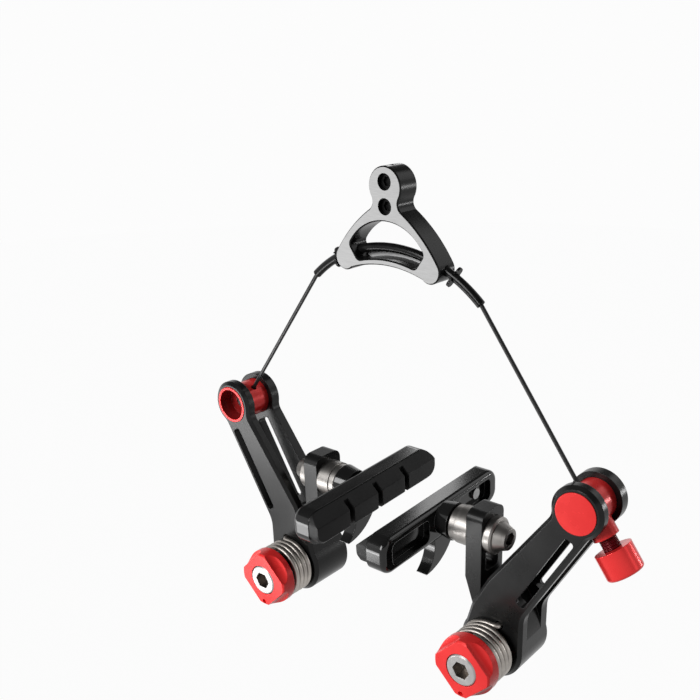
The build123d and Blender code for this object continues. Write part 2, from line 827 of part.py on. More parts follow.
def horn():
    """The curved horn under the holder."""
    root = pad_z - holder_height / 2 + horn_root_sink
    tip = (pad_y - horn_reach, root - horn_drop)
    front = (pad_y - horn_root_half, root)
    back = (pad_y + horn_root_half, root)
    edges = ThreePointArc(front, (front[0] - horn_front_bow, root - horn_front_bow_down), tip)
    edges += ThreePointArc(tip, (pad_y + horn_back_bow, root - horn_back_bow_down), back)
    edges += Line(back, front)
    return slab_yz(make_face(edges), holder_back_x - horn_thickness, holder_back_x)


def pad_holder():
    """The cartridge that holds the insert: channel, two pockets, middle boss and horn."""
    outline = Pos(pad_y, pad_z) * RectangleRounded(pad_length, holder_height, holder_corner)
    body = slab_yz(outline, holder_front_x, holder_back_x)
    body = fillet(body.faces().sort_by(Axis.X)[-1].edges(), holder_edge)
    body += horn()
    inside = Pos(pad_y, pad_z) * RectangleRounded(
        pad_length - 2 * holder_wall + 2 * insert_clearance,
        insert_height + 2 * insert_clearance,
        holder_corner - holder_wall,
    )
    body -= slab_yz(inside, holder_front_x - cut_past, insert_back_x)
    for side in (-1, 1):
        centre = pad_y + side * (pocket_from_bolt + pocket_length / 2)
        pocket = Pos(centre, pad_z) * RectangleRounded(pocket_length, pocket_height, pocket_corner)
        body -= slab_yz(pocket, holder_back_x - pocket_depth, holder_back_x + cut_past)
    boss_length = holder_boss_length + join_sink
    boss = Cone(holder_boss_root_radius, holder_boss_radius, boss_length)
    body += Pos(boss_face_x - boss_length / 2, pad_y, pad_bolt_up) * Rot(0, 90, 0) * boss
    body -= rod_x(
        pad_bolt_radius + pad_bolt_clearance,
        boss_face_x - pad_bolt_bite - pad_bolt_end_gap, boss_face_x + cut_past, pad_y, pad_bolt_up,
    )
    retainer_y = pad_y + retainer_from_bolt
    body -= rod_x(retainer_radius, insert_back_x - cut_past, holder_back_x, retainer_y, pad_z)
    return pitched(body)


def retaining_screw():
    """The small screw that keeps the insert in its holder."""
    seat = holder_back_x - pocket_depth
    y = pad_y + retainer_from_bolt
    screw = rod_x(retainer_radius, insert_back_x - retainer_bite, seat, y, pad_z)
    screw += rod_x(retainer_head_radius, seat, seat + retainer_head_length, y, pad_z)
    return pitched(screw)


def washer_sphere(shift):
    """The ball that shapes the cup and dome washers' shared seat."""
    seat_x = boss_face_x + cup_washer_length
    centre_x = seat_x + sqrt(dome_sphere_radius**2 - cup_washer_radius**2)
    return Pos(centre_x, pad_y, pad_bolt_up) * Sphere(dome_sphere_radius + shift)


def washer_bore(x0, x1):
    """The hole for the pad bolt through washers that lie between two X values."""
    radius = pad_bolt_radius + washer_bore_clearance
    return rod_x(radius, x0 - cut_past, x1 + cut_past, pad_y, pad_bolt_up)


def cup_washer():
    """The hollowed washer on the holder's boss."""
    seat_x = boss_face_x + cup_washer_length
    washer = rod_x(cup_washer_radius, boss_face_x, seat_x, pad_y, pad_bolt_up)
    washer = chamfer(washer.faces().sort_by(Axis.X)[0].edges(), cup_washer_edge)
    washer -= washer_bore(boss_face_x, seat_x)
    return washer - washer_sphere(0)


def dome_washer():
    """The domed washer between the cup washer and the tab."""
    seat_x = boss_face_x + cup_washer_length
    washer = rod_x(dome_washer_radius, seat_x, tab_inner_x, pad_y, pad_bolt_up)
    core = rod_x(cup_washer_radius - dome_edge_gap, boss_face_x, seat_x + join_sink, pad_y, pad_bolt_up)
    washer += core & washer_sphere(-washer_seat_gap)
    return washer - washer_bore(boss_face_x, tab_inner_x)


def outer_washer():
    """The washer under the pad bolt's head."""
    back_x = tab_outer_x + outer_washer_length
    washer = rod_x(outer_washer_radius, tab_outer_x, back_x, pad_y, pad_bolt_up)
    washer = chamfer(washer.faces().sort_by(Axis.X)[-1].edges(), outer_washer_edge)
    return washer - washer_bore(tab_outer_x, back_x)


def pad_bolt():
    """Cone-headed bolt through the tab's slot into the holder's boss."""
    head_x = tab_outer_x + outer_washer_length
    tip_x = head_x + pad_head_length
    bolt = rod_x(pad_bolt_radius, boss_face_x - pad_bolt_bite, head_x + join_sink, pad_y, pad_bolt_up)
    cone = Cone(pad_head_radius, pad_head_tip_radius, pad_head_length)
    bolt += Pos(head_x + pad_head_length / 2, pad_y, pad_bolt_up) * Rot(0, 90, 0) * cone
    socket = slab_yz(
        Pos(pad_y, pad_bolt_up) * hexagon(pad_socket_flats), tip_x - pad_socket_depth, tip_x + cut_past
    )
    return bolt - socket


# Write one file for each piece

pairs = {
    "arm": arm,
    "arm_bush": arm_bush,
    "pivot_sleeve": pivot_sleeve,
    "mounting_bolt": mounting_bolt,
    "tension_nut": tension_nut,
    "return_spring": return_spring,
    "pad_insert": pad_insert,
    "pad_holder": pad_holder,
    "insert_screw": retaining_screw,
    "pad_cup_washer": cup_washer,
    "pad_dome_washer": dome_washer,
    "pad_outer_washer": outer_washer,
    "pad_bolt": pad_bolt,
    "guide_clip": retaining_clip,
}
pieces = {}
for name, make in pairs.items():
    shape = make()
    pieces["right_" + name] = shape
    pieces["left_" + name] = left_of(shape)
pieces["left_anchor_barrel"] = left_of(anchor_barrel())
pieces["left_anchor_screw"] = left_of(anchor_screw())
pieces["right_adjuster_barrel"] = adjuster_barrel()
pieces["adjuster_tube"] = adjuster_tube()
pieces["adjuster_knob"] = adjuster_knob()
pieces["cable_head"] = cable_head()
pieces["hanger"] = hanger()
pieces["hanger_screws"] = hanger_screws()
pieces["guide_sleeve"] = guide_sleeve()
pieces["straddle_cable_middle"] = cable_middle()
pieces["straddle_cable_left_leg"] = left_of(cable_leg(anchor_cable_past - cable_end_gap))
pieces["straddle_cable_right_leg"] = cable_leg(right_leg_end)

os.makedirs("parts", exist_ok=True)
for name, shape in pieces.items():
    export_step(shape, "parts/" + name + ".step")
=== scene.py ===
import json
from math import cos, pi, radians, sin, sqrt, tau

import bmesh
import bpy
from mathutils import Matrix, Vector


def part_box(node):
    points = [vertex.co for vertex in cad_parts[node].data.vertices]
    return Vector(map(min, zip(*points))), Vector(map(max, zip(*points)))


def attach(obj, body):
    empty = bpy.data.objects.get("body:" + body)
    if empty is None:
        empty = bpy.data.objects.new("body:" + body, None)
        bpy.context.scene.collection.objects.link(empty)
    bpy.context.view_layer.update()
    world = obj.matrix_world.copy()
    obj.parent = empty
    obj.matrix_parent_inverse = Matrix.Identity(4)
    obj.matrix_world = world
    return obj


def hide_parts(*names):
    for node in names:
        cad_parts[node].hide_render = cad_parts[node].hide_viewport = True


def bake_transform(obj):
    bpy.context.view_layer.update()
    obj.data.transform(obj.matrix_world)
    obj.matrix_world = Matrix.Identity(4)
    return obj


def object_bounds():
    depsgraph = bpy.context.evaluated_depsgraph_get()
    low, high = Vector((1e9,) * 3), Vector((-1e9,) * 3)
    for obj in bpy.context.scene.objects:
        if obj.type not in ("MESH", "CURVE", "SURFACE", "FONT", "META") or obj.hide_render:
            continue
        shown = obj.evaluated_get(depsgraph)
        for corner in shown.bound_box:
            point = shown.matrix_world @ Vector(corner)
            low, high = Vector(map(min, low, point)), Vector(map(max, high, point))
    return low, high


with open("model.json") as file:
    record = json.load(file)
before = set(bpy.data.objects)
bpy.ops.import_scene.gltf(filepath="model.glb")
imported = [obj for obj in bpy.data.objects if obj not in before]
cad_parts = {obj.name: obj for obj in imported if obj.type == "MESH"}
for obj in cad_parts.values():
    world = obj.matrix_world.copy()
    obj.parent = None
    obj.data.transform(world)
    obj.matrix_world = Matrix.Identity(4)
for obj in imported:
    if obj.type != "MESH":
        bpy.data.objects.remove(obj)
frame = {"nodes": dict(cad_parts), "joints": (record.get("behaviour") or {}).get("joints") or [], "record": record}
cad_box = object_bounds()

# Cantilever brake in metres, in the frame's own axes: X across the wheel, Y to the rear, Z up.

MM = 0.001
nodes = frame["nodes"]
joints = {joint["name"]: joint for joint in frame["joints"]}

# Camera, fitted to the photograph
IMAGE_SIZE = 700
FOCAL_PIXELS = 942.7
PRINCIPAL_X = 431.0
PRINCIPAL_Y = 430.0
SENSOR_WIDTH = 36.0
CAMERA_PLACE = Vector((164.8, -212.1, 167.1)) * MM
CAMERA_AZIMUTH = 36.75
CAMERA_ELEVATION = 22.91
CLIP_START = 0.005

# Stage: a round white floor that curves up into a wall
FLOOR_Z = -0.085
FLOOR_RADIUS = 1.1
FLOOR_CURVE = 0.4
WALL_TOP = 0.75
FLOOR_SIDES = 96
CURVE_STEPS = 12
FLOOR_WHITE = 0.97
FLOOR_GREY = 0.55
WORLD_GREY = 0.10

# Straddle cable: fine wires laid round a core, under a thin coat
CABLE_RADIUS = 0.61 * MM
CABLE_WIRES = 12
CABLE_GROOVE = 0.03 * MM
CABLE_LAY = 14.0 * MM
CABLE_STEP = 0.6 * MM
CABLE_SIDES = 48

# Pad inserts: blocks as long as their holders, measured from the line through the pad bolt
INSERT_PITCH = 2.0
INSERT_LENGTH = 57.7 * MM
INSERT_TOP = 4.4 * MM
INSERT_BOTTOM = -5.2 * MM
INSERT_CORNER = 3.4 * MM
INSERT_CORNER_STEPS = 8
INSERT_SLOPE_WIDTH = 3.6 * MM
INSERT_SLOPE_DROP = 3.3 * MM
INSERT_EDGE = 0.8 * MM
INSERT_GROOVES = 3
INSERT_GROOVE_SPACING = 13.5 * MM
INSERT_GROOVE_WIDTH = 2.2 * MM
INSERT_GROOVE_DEPTH = 2.6 * MM
INSERT_SEAT = 0.05 * MM

# Adjuster thread
THREAD_PITCH = 0.8 * MM
STEM_RADIUS = 2.5 * MM

# Hollow of the anchor barrel and sockets of the mounting bolts, whose insides get painted shade, and how deep
# behind the front that painted shade starts
HOLLOW_RADIUS = 5.2 * MM
SOCKET_RADIUS = 3.0 * MM
HOLLOW_LIP = 0.15 * MM

# Scales of the materials' noise, in waves per metre, and the height of their relief
DYE_SCALE = 90.0
HANGER_DYE_SCALE = 110.0
WEAR_SCALE = 260.0
GRAIN_SCALE = 5200.0
STAIN_SCALE = 220.0
BLOOM_SCALE = 140.0
RUBBER_GRAIN_SCALE = 3400.0
COAT_SCALE = 400.0
COAT_GRAIN_SCALE = 2600.0
BRUSH_SCALES = (260.0, 900.0, 5200.0)
TURNED_SCALES = (900.0, 160.0, 160.0)
DRAWN_SCALES = (900.0, 900.0, 900.0)
BUSH_SCALES = (900.0, 4200.0, 900.0)
GRAIN_HEIGHT = 0.02 * MM
RUBBER_GRAIN_HEIGHT = 0.03 * MM
THREAD_HEIGHT = 0.2 * MM

# Rays for each rounded edge, and points this close become one
EDGE_SAMPLES = 6
MERGE_DISTANCE = 0.001 * MM


# Materials

class Surface:
    """A node material that grows from its Principled shader."""

    def __init__(self, name, **sockets):
        self.material = bpy.data.materials.new(name)
        self.material.use_nodes = True
        self.tree = self.material.node_tree
        self.shader = self.tree.nodes["Principled BSDF"]
        for socket, value in sockets.items():
            self.shader.inputs[socket.replace("_", " ")].default_value = value
        self.place = self.node("ShaderNodeTexCoord").outputs["Object"]

    def node(self, kind, inputs=None, **settings):
        """A new node, with its settings, constants and links."""
        made = self.tree.nodes.new(kind)
        for name, value in settings.items():
            setattr(made, name, value)
        for name, value in (inputs or {}).items():
            self.feed(made.inputs[name], value)
        return made

    def feed(self, socket, value):
        """Link a socket, or set its constant."""
        if isinstance(value, bpy.types.NodeSocket):
            self.tree.links.new(value, socket)
        else:
            socket.default_value = value

    def set(self, socket, value):
        """Feed one of the shader's own sockets."""
        self.feed(self.shader.inputs[socket], value)

    def stretched(self, x, y, z):
        """Object coordinates, scaled by axis."""
        mapping = self.node("ShaderNodeMapping", {"Vector": self.place})
        mapping.inputs["Scale"].default_value = (x, y, z)
        return mapping.outputs["Vector"]

    def noise(self, scale, detail=3.0, roughness=0.55, vector=None):
        """Noise from 0 to 1."""
        inputs = {"Vector": vector or self.place, "Scale": scale, "Detail": detail, "Roughness": roughness}
        return self.node("ShaderNodeTexNoise", inputs).outputs["Fac"]

    def spread(self, value, low, high, to_low=0.0, to_high=1.0):
        """A value's range, mapped to another and clamped."""
        inputs = {"Value": value, "From Min": low, "From Max": high, "To Min": to_low, "To Max": to_high}
        return self.node("ShaderNodeMapRange", inputs).outputs["Result"]

    def math(self, operation, first, second):
        """One arithmetic step."""
        made = self.node("ShaderNodeMath", operation=operation)
        self.feed(made.inputs[0], first)
        self.feed(made.inputs[1], second)
        return made.outputs["Value"]

    def mix(self, share, first, second):
        """Two colours, mixed by a share."""
        made = self.node("ShaderNodeMix", data_type="RGBA")
        self.feed(made.inputs["Factor"], share)
        self.feed(made.inputs["A"], first)
        self.feed(made.inputs["B"], second)
        return made.outputs["Result"]

    def soft_edges(self, radius):
        """A normal that rounds the edges."""
        return self.node("ShaderNodeBevel", {"Radius": radius}, samples=EDGE_SAMPLES).outputs["Normal"]

    def edge_share(self, rounded, low, high):
        """How far the rounded normal leaves the face's own, from 0 to 1."""
        face = self.node("ShaderNodeNewGeometry").outputs["Normal"]
        dot = self.node("ShaderNodeVectorMath", operation="DOT_PRODUCT")
        self.feed(dot.inputs[0], rounded)
        self.feed(dot.inputs[1], face)
        return self.spread(dot.outputs["Value"], 1 - low, 1 - high)

    def bump(self, height, strength, distance, normal=None):
        """A normal bent by a height."""
        inputs = {"Height": height, "Strength": strength, "Distance": distance}
        if normal is not None:
            inputs["Normal"] = normal
        return self.node("ShaderNodeBump", inputs).outputs["Normal"]


def grey(value, warm=0.0):
    """A near-grey colour, warmer for a positive second value."""
    return (value * (1 + warm), value, value * (1 - warm), 1.0)


BLACK_DARK = grey(0.006)
BLACK_LIGHT = grey(0.011)
RUBBER_DARK = grey(0.008)
RUBBER_LIGHT = grey(0.014)
# Painted reflection: pale greys for the hanger's faces that turn to the front.
FRONT_REFLECTION_DARK = grey(0.46)
FRONT_REFLECTION_LIGHT = grey(0.54)
# Painted shade: darker steel for the inside of the mounting bolts' sockets.
SOCKET_PAINTED_SHADE = grey(0.22, 0.1)
RED_DARK = (0.76, 0.026, 0.026, 1.0)
RED_LIGHT = (0.86, 0.038, 0.037, 1.0)
RED_WORN = (0.88, 0.055, 0.052, 1.0)
# Painted shade: dark red for the inside of the anchor barrel's hollow.
RED_HOLLOW_PAINTED_SHADE = (0.24, 0.012, 0.012, 1.0)
RED_THREAD = (0.10, 0.004, 0.008, 1.0)
BRONZE_DARK = (0.22, 0.13, 0.05, 1.0)
BRONZE_LIGHT = (0.36, 0.23, 0.09, 1.0)


def anodised(name, dark, light, worn, rough_low, rough_high, metallic, specular, edge=0.25 * MM):
    """Blasted and anodised aluminium: fine grain, uneven dye, edges rubbed a little paler."""
    surface = Surface(name, Metallic=metallic, Specular_IOR_Level=specular)
    rounded = surface.soft_edges(edge)
    cloud = surface.noise(DYE_SCALE, 4.0)
    dye = surface.mix(surface.spread(cloud, 0.35, 0.65), dark, light)
    rubbed = surface.math("MULTIPLY", surface.edge_share(rounded, 0.03, 0.4),
                          surface.spread(surface.noise(WEAR_SCALE), 0.2, 0.9, 0.0, 0.7))
    surface.set("Base Color", surface.mix(rubbed, dye, worn))
    grain = surface.noise(GRAIN_SCALE, 2.0)
    surface.set("Roughness", surface.spread(cloud, 0.3, 0.7, rough_low, rough_high))
    surface.set("Normal", surface.bump(grain, 0.10, GRAIN_HEIGHT, rounded))
    return surface


def steel(name, dark, light, rough_low, rough_high, lines, edge=0.2 * MM):
    """Turned or drawn steel: fine lines across the given scale, with faint stains."""
    surface = Surface(name, Metallic=1.0)
    rounded = surface.soft_edges(edge)
    stain = surface.noise(STAIN_SCALE, 4.0)
    surface.set("Base Color", surface.mix(surface.spread(stain, 0.35, 0.68), dark, light))
    line = surface.noise(1.0, 1.0, 0.5, surface.stretched(*lines))
    surface.set("Roughness", surface.spread(line, 0.3, 0.7, rough_low, rough_high))
    surface.set("Normal", surface.bump(line, 0.01, GRAIN_HEIGHT, rounded))
    return surface


def rubber_surface():
    """Moulded brake rubber: matt, with fine grain and a little bloom."""
    surface = Surface("pad_rubber", Specular_IOR_Level=0.14)
    rounded = surface.soft_edges(0.35 * MM)
    bloom = surface.noise(BLOOM_SCALE, 5.0)
    surface.set("Base Color", surface.mix(surface.spread(bloom, 0.35, 0.75), RUBBER_DARK, RUBBER_LIGHT))
    grain = surface.noise(RUBBER_GRAIN_SCALE, 3.0)
    surface.set("Roughness", surface.spread(bloom, 0.3, 0.7, 0.42, 0.55))
    surface.set("Normal", surface.bump(grain, 0.16, RUBBER_GRAIN_HEIGHT, rounded))
    return surface


def about_axis(surface, node, joint):
    """A point's distance along a joint's axis and out from it, on a node's surface."""
    to_node = nodes[node].matrix_world.inverted()
    start = to_node @ Vector(joints[joint]["pos_m"])
    axis = (to_node.to_3x3() @ Vector(joints[joint]["axis"])).normalized()
    place = surface.node("ShaderNodeVectorMath", operation="SUBTRACT")
    surface.feed(place.inputs[0], surface.place)
    surface.feed(place.inputs[1], start)
    along = surface.node("ShaderNodeVectorMath", operation="DOT_PRODUCT")
    across = surface.node("ShaderNodeVectorMath", operation="CROSS_PRODUCT")
    for made in (along, across):
        surface.feed(made.inputs[0], place.outputs["Vector"])
        surface.feed(made.inputs[1], axis)
    reach = surface.node("ShaderNodeVectorMath", operation="LENGTH")
    surface.feed(reach.inputs[0], across.outputs["Vector"])
    return along.outputs["Value"], reach.outputs["Value"]


def paint_hollow_shade(surface, node, joint, radius, colour):
    """Paint shade: another colour for what lies behind a node's front and near a joint's axis."""
    _, reach = about_axis(surface, node, joint)
    near = surface.spread(reach, radius * 1.03, radius * 1.01)
    depth = surface.node("ShaderNodeSeparateXYZ", {"Vector": surface.place}).outputs["Y"]
    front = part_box(node)[0].y
    behind = surface.spread(depth, front + HOLLOW_LIP, front + 2 * HOLLOW_LIP)
    plain = surface.shader.inputs["Base Color"].links[0].from_socket
    surface.set("Base Color", surface.mix(surface.math("MULTIPLY", near, behind), plain, colour))


def knob_surface(**looks):
    """The red of the knob, with a dark rough thread on its stem."""
    surface = anodised("red_knob", **looks)
    along, reach = about_axis(surface, "adjuster_knob", "adjuster_turn")
    stem = surface.spread(reach, STEM_RADIUS * 1.04, STEM_RADIUS * 1.02)
    turns = surface.math("MULTIPLY", along, tau / THREAD_PITCH)
    ridge = surface.math("MULTIPLY", surface.math("SINE", turns, 0.0), stem)
    plain = surface.shader.inputs["Base Color"].links[0].from_socket
    surface.set("Base Color", surface.mix(stem, plain, RED_THREAD))
    smooth = surface.shader.inputs["Normal"].links[0].from_socket
    surface.set("Normal", surface.bump(ridge, 0.8, THREAD_HEIGHT, smooth))
    return surface


def anchor_surface(**looks):
    """The red of the anchor barrel, with painted shade inside its hollow."""
    surface = anodised("red_anchor", **looks)
    paint_hollow_shade(surface, "left_anchor_barrel", "left_barrel_turn", HOLLOW_RADIUS, RED_HOLLOW_PAINTED_SHADE)
    return surface


def bolt_surface(side, **looks):
    """A mounting bolt's steel, with painted shade inside its socket."""
    surface = steel(f"{side}_bolt_steel", **looks)
    paint_hollow_shade(surface, f"{side}_mounting_bolt", f"{side}_nut_turn", SOCKET_RADIUS, SOCKET_PAINTED_SHADE)
    return surface


def gloss_surface(name, shade, rough_low, rough_high, specular):
    """Shiny black coating or plastic, slightly uneven."""
    surface = Surface(name, Specular_IOR_Level=specular)
    rounded = surface.soft_edges(0.15 * MM)
    cloud = surface.noise(COAT_SCALE, 3.0)
    surface.set("Base Color", surface.mix(surface.spread(cloud, 0.35, 0.7), grey(shade), grey(shade * 1.7)))
    surface.set("Roughness", surface.spread(cloud, 0.3, 0.7, rough_low, rough_high))
    surface.set("Normal", surface.bump(surface.noise(COAT_GRAIN_SCALE, 2.0), 0.06, GRAIN_HEIGHT, rounded))
    return surface


def hanger_surface():
    """Black anodised yoke; faces turned to the front are painted pale grey with brushed lines, a painted
    reflection.
    """
    surface = Surface("hanger_anodised", Specular_IOR_Level=0.15)
    rounded = surface.soft_edges(0.2 * MM)
    normal = surface.node("ShaderNodeNewGeometry").outputs["True Normal"]
    facing = surface.node("ShaderNodeSeparateXYZ", {"Vector": normal}).outputs["Y"]
    # Painted reflection: faces turned to the front are mixed to pale grey.
    front = surface.spread(facing, -0.9, -0.98)
    cloud = surface.noise(HANGER_DYE_SCALE, 4.0)
    black = surface.mix(surface.spread(cloud, 0.35, 0.65), BLACK_DARK, BLACK_LIGHT)
    brushed = surface.noise(1.0, 3.0, 0.65, surface.stretched(*BRUSH_SCALES))
    pale = surface.mix(surface.spread(brushed, 0.3, 0.7), FRONT_REFLECTION_DARK, FRONT_REFLECTION_LIGHT)
    surface.set("Base Color", surface.mix(front, black, pale))
    surface.set("Roughness", surface.spread(cloud, 0.3, 0.7, 0.22, 0.28))
    height = surface.math("ADD", surface.noise(GRAIN_SCALE, 2.0), brushed)
    surface.set("Normal", surface.bump(height, 0.08, GRAIN_HEIGHT, rounded))
    return surface


RED = {
    "dark": RED_DARK,
    "light": RED_LIGHT,
    "worn": RED_WORN,
    "rough_low": 0.24,
    "rough_high": 0.32,
    "metallic": 0.12,
    "specular": 0.22,
}
RED_KNOB = {**RED, "rough_low": 0.18, "rough_high": 0.24, "metallic": 0.4, "specular": 0.3}
BLACK = {
    "dark": BLACK_DARK,
    "light": BLACK_LIGHT,
    "worn": grey(0.05),
    "rough_low": 0.24,
    "rough_high": 0.27,
    "metallic": 0.0,
    "specular": 0.2,
}
HOLDER_BLACK = {
    "dark": BLACK_DARK,
    "light": grey(0.010),
    "worn": grey(0.04),
    "rough_low": 0.10,
    "rough_high": 0.14,
    "metallic": 0.0,
    "specular": 0.35,
    "edge": 0.3 * MM,
}
SILVER = {
    "dark": grey(0.21, 0.05),
    "light": grey(0.28, 0.05),
    "rough_low": 0.34,
    "rough_high": 0.42,
    "lines": TURNED_SCALES,
}
BOLT_SILVER = {
    "dark": grey(0.31, 0.02),
    "light": grey(0.38, 0.02),
    "rough_low": 0.36,
    "rough_high": 0.44,
    "lines": TURNED_SCALES,
}
PLAIN_STEEL = {
    "dark": grey(0.20),
    "light": grey(0.33),
    "rough_low": 0.28,
    "rough_high": 0.42,
    "lines": DRAWN_SCALES,
}
SPRING_STEEL = {
    "dark": grey(0.28, 0.08),
    "light": grey(0.40, 0.08),
    "rough_low": 0.38,
    "rough_high": 0.48,
    "lines": DRAWN_SCALES,
}
BRONZE = {
    "dark": BRONZE_DARK,
    "light": BRONZE_LIGHT,
    "rough_low": 0.3,
    "rough_high": 0.45,
    "lines": BUSH_SCALES,
}
BLACK_STEEL = {"shade": 0.004, "rough_low": 0.24, "rough_high": 0.34, "specular": 0.15}
CABLE_COAT = {"shade": 0.010, "rough_low": 0.26, "rough_high": 0.38, "specular": 0.3}
GUIDE_PLASTIC = {"shade": 0.005, "rough_low": 0.16, "rough_high": 0.24, "specular": 0.15}
surfaces = {
    "black_anodised": anodised("black_anodised", **BLACK),
    "red_anodised": anodised("red_anodised", **RED),
    "hanger_anodised": hanger_surface(),
    "steel": steel("steel", **PLAIN_STEEL),
    "silver_steel": steel("silver_steel", **SILVER),
    "spring_steel": steel("spring_steel", **SPRING_STEEL),
    "black_steel": gloss_surface("black_steel", **BLACK_STEEL),
    "bearing_bronze": steel("bearing_bronze", **BRONZE),
    "pad_rubber": rubber_surface(),
    "black_coated_cable": gloss_surface("black_coated_cable", **CABLE_COAT),
    "black_guide": gloss_surface("black_guide", **GUIDE_PLASTIC),
}
holder_black = anodised("holder_black", **HOLDER_BLACK)
own_surfaces = {
    "left_pad_holder": holder_black,
    "right_pad_holder": holder_black,
    "adjuster_knob": knob_surface(**RED_KNOB),
    "left_anchor_barrel": anchor_surface(**RED),
    "left_mounting_bolt": bolt_surface("left", **BOLT_SILVER),
    "right_mounting_bolt": bolt_surface("right", **BOLT_SILVER),
}
for part in frame["record"]["subparts"]:
    mesh = nodes[part["node"]].data
    mesh.materials.clear()
    mesh.materials.append(own_surfaces.get(part["node"], surfaces[part["material_slot"]]).material)


# Helpers for new meshes

def join_rings(made, rings):
    """Faces from each ring of points to the next."""
    for ring, next_ring in zip(rings, rings[1:]):
        for corner in range(len(ring)):
            after = (corner + 1) % len(ring)
            made.faces.new((ring[corner], ring[after], next_ring[after], next_ring[corner]))


def new_piece(name, mesh):
    """A mesh as a new object in the scene."""
    piece = bpy.data.objects.new(name, mesh)
    bpy.context.scene.collection.objects.link(piece)
    return piece


def finished_mesh(name, made, smooth):
    """A mesh from what was made in bmesh, which is freed."""
    mesh = bpy.data.meshes.new(name)
    made.to_mesh(mesh)
    made.free()
    for face in mesh.polygons:
        face.use_smooth = smooth
    return mesh


# Straddle cable

def axes_across(along):
    """Two unit directions across a direction."""
    first = along.cross(Vector((0, 1, 0))).normalized()
    return first, along.cross(first)


def wound_cable(name, start, end):
    """A straight run of cable whose outer wires wind round it, as one mesh."""
    run = end - start
    along = run.normalized()
    first, second = axes_across(along)
    steps = max(2, round(run.length / CABLE_STEP))
    made = bmesh.new()
    rings = []
    for step in range(steps + 1):
        distance = run.length * step / steps
        twist = tau * distance / CABLE_LAY
        ring = []
        for side in range(CABLE_SIDES):
            turn = tau * side / CABLE_SIDES
            groove = 1 - abs(cos(CABLE_WIRES * (turn - twist) / 2))
            radius = CABLE_RADIUS - CABLE_GROOVE * groove
            out = first * cos(turn) + second * sin(turn)
            ring.append(made.verts.new(start + along * distance + out * radius))
        rings.append(ring)
    made.faces.new(list(reversed(rings[0])))
    join_rings(made, rings)
    made.faces.new(rings[-1])
    bmesh.ops.recalc_face_normals(made, faces=made.faces)
    piece = new_piece(name, finished_mesh(name, made, smooth=True))
    piece.data.materials.append(surfaces["black_coated_cable"].material)
    return piece


for side, sign in (("left", -1), ("right", 1)):
    node = f"straddle_cable_{side}_leg"
    low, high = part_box(node)
    barrel = Vector(joints[f"{side}_barrel_turn"]["pos_m"])
    along = Vector(joints["adjuster_turn"]["axis"])
    along.x *= sign
    # The leg's slanted end discs reach this far above and below the ends of its middle line.
    rim = CABLE_RADIUS * sqrt(1 - along.z**2)
    top = barrel + along * ((high.z - rim - barrel.z) / along.z)
    foot = barrel + along * ((low.z + rim - barrel.z) / along.z)
    piece = wound_cable(f"{side}_cable_wires", top, foot)
    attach(piece, f"{side}_barrel")
    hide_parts(node)


# Return springs

def winding_spring(name, side):
    """A copy of a return spring's own mesh, placed where the spring stands."""
    node = nodes[f"{side}_return_spring"]
    mesh = node.data.copy()
    mesh.name = name
    mesh.transform(node.matrix_world)
    piece = new_piece(name, mesh)
    return piece


for side in ("left", "right"):
    piece = winding_spring(f"{side}_spring_wire", side)
    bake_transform(piece)
    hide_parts(f"{side}_return_spring")


# Pad inserts

def insert_stations():
    """Places along the block, with a groove's depth at each: round ends, plain runs and sharp grooves."""
    half = INSERT_LENGTH / 2
    ends = []
    for step in range(INSERT_CORNER_STEPS + 1):
        ends.append(half - INSERT_CORNER + INSERT_CORNER * sin(pi / 2 * step / INSERT_CORNER_STEPS))
    stations = [(-place, 0.0) for place in reversed(ends)]
    for number in range(INSERT_GROOVES):
        middle = (number - (INSERT_GROOVES - 1) / 2) * INSERT_GROOVE_SPACING
        near = middle - INSERT_GROOVE_WIDTH / 2
        far = middle + INSERT_GROOVE_WIDTH / 2
        stations += [(near, 0.0), (near, INSERT_GROOVE_DEPTH), (far, INSERT_GROOVE_DEPTH), (far, 0.0)]
    return stations + [(place, 0.0) for place in ends]


def insert_section(place, groove, depth):
    """The block's outline across its length: distance from the rim face and height, from the back round."""
    past = max(0.0, abs(place) - (INSERT_LENGTH / 2 - INSERT_CORNER))
    drop = INSERT_CORNER - sqrt(max(0.0, INSERT_CORNER**2 - past**2))
    top = INSERT_TOP - drop
    bottom = INSERT_BOTTOM + drop
    face_top = INSERT_TOP - INSERT_SLOPE_DROP * (1 - groove / INSERT_SLOPE_WIDTH)
    ridge = INSERT_SLOPE_WIDTH * (1 - (INSERT_TOP - top) / INSERT_SLOPE_DROP)
    return [
        (depth, bottom),
        (depth, top),
        (max(ridge, groove), top),
        (groove, min(face_top, top)),
        (groove, bottom + INSERT_EDGE),
        (groove + INSERT_EDGE, bottom),
    ]


def pad_block(name, side, sign):
    """One rubber block on its holder's rim face, from the rim face to the holder."""
    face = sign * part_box(f"{side}_pad_insert")[(1 - sign) // 2].x
    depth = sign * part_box(f"{side}_pad_holder")[(1 - sign) // 2].x - INSERT_SEAT - face
    bolt = Vector(joints[f"{side}_pad_turn"]["pos_m"])
    pitch = Matrix.Rotation(radians(INSERT_PITCH), 3, "X")
    made = bmesh.new()
    rings = []
    for place, groove in insert_stations():
        ring = []
        for inward, height in insert_section(place, groove, depth):
            point = pitch @ Vector((0.0, place, height))
            ring.append(made.verts.new((sign * (face + inward), bolt.y + point.y, bolt.z + point.z)))
        rings.append(ring)
    made.faces.new(rings[0])
    join_rings(made, rings)
    made.faces.new(rings[-1])
    bmesh.ops.remove_doubles(made, verts=made.verts, dist=MERGE_DISTANCE)
    bmesh.ops.recalc_face_normals(made, faces=made.faces)
    piece = new_piece(name, finished_mesh(name, made, smooth=False))
    piece.data.materials.append(surfaces["pad_rubber"].material)
    return piece


for side, sign in (("left", -1), ("right", 1)):
    piece = pad_block(f"{side}_rubber_block", side, sign)
    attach(piece, f"{side}_pad")
    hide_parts(f"{side}_pad_insert")


# Stage, lights and camera

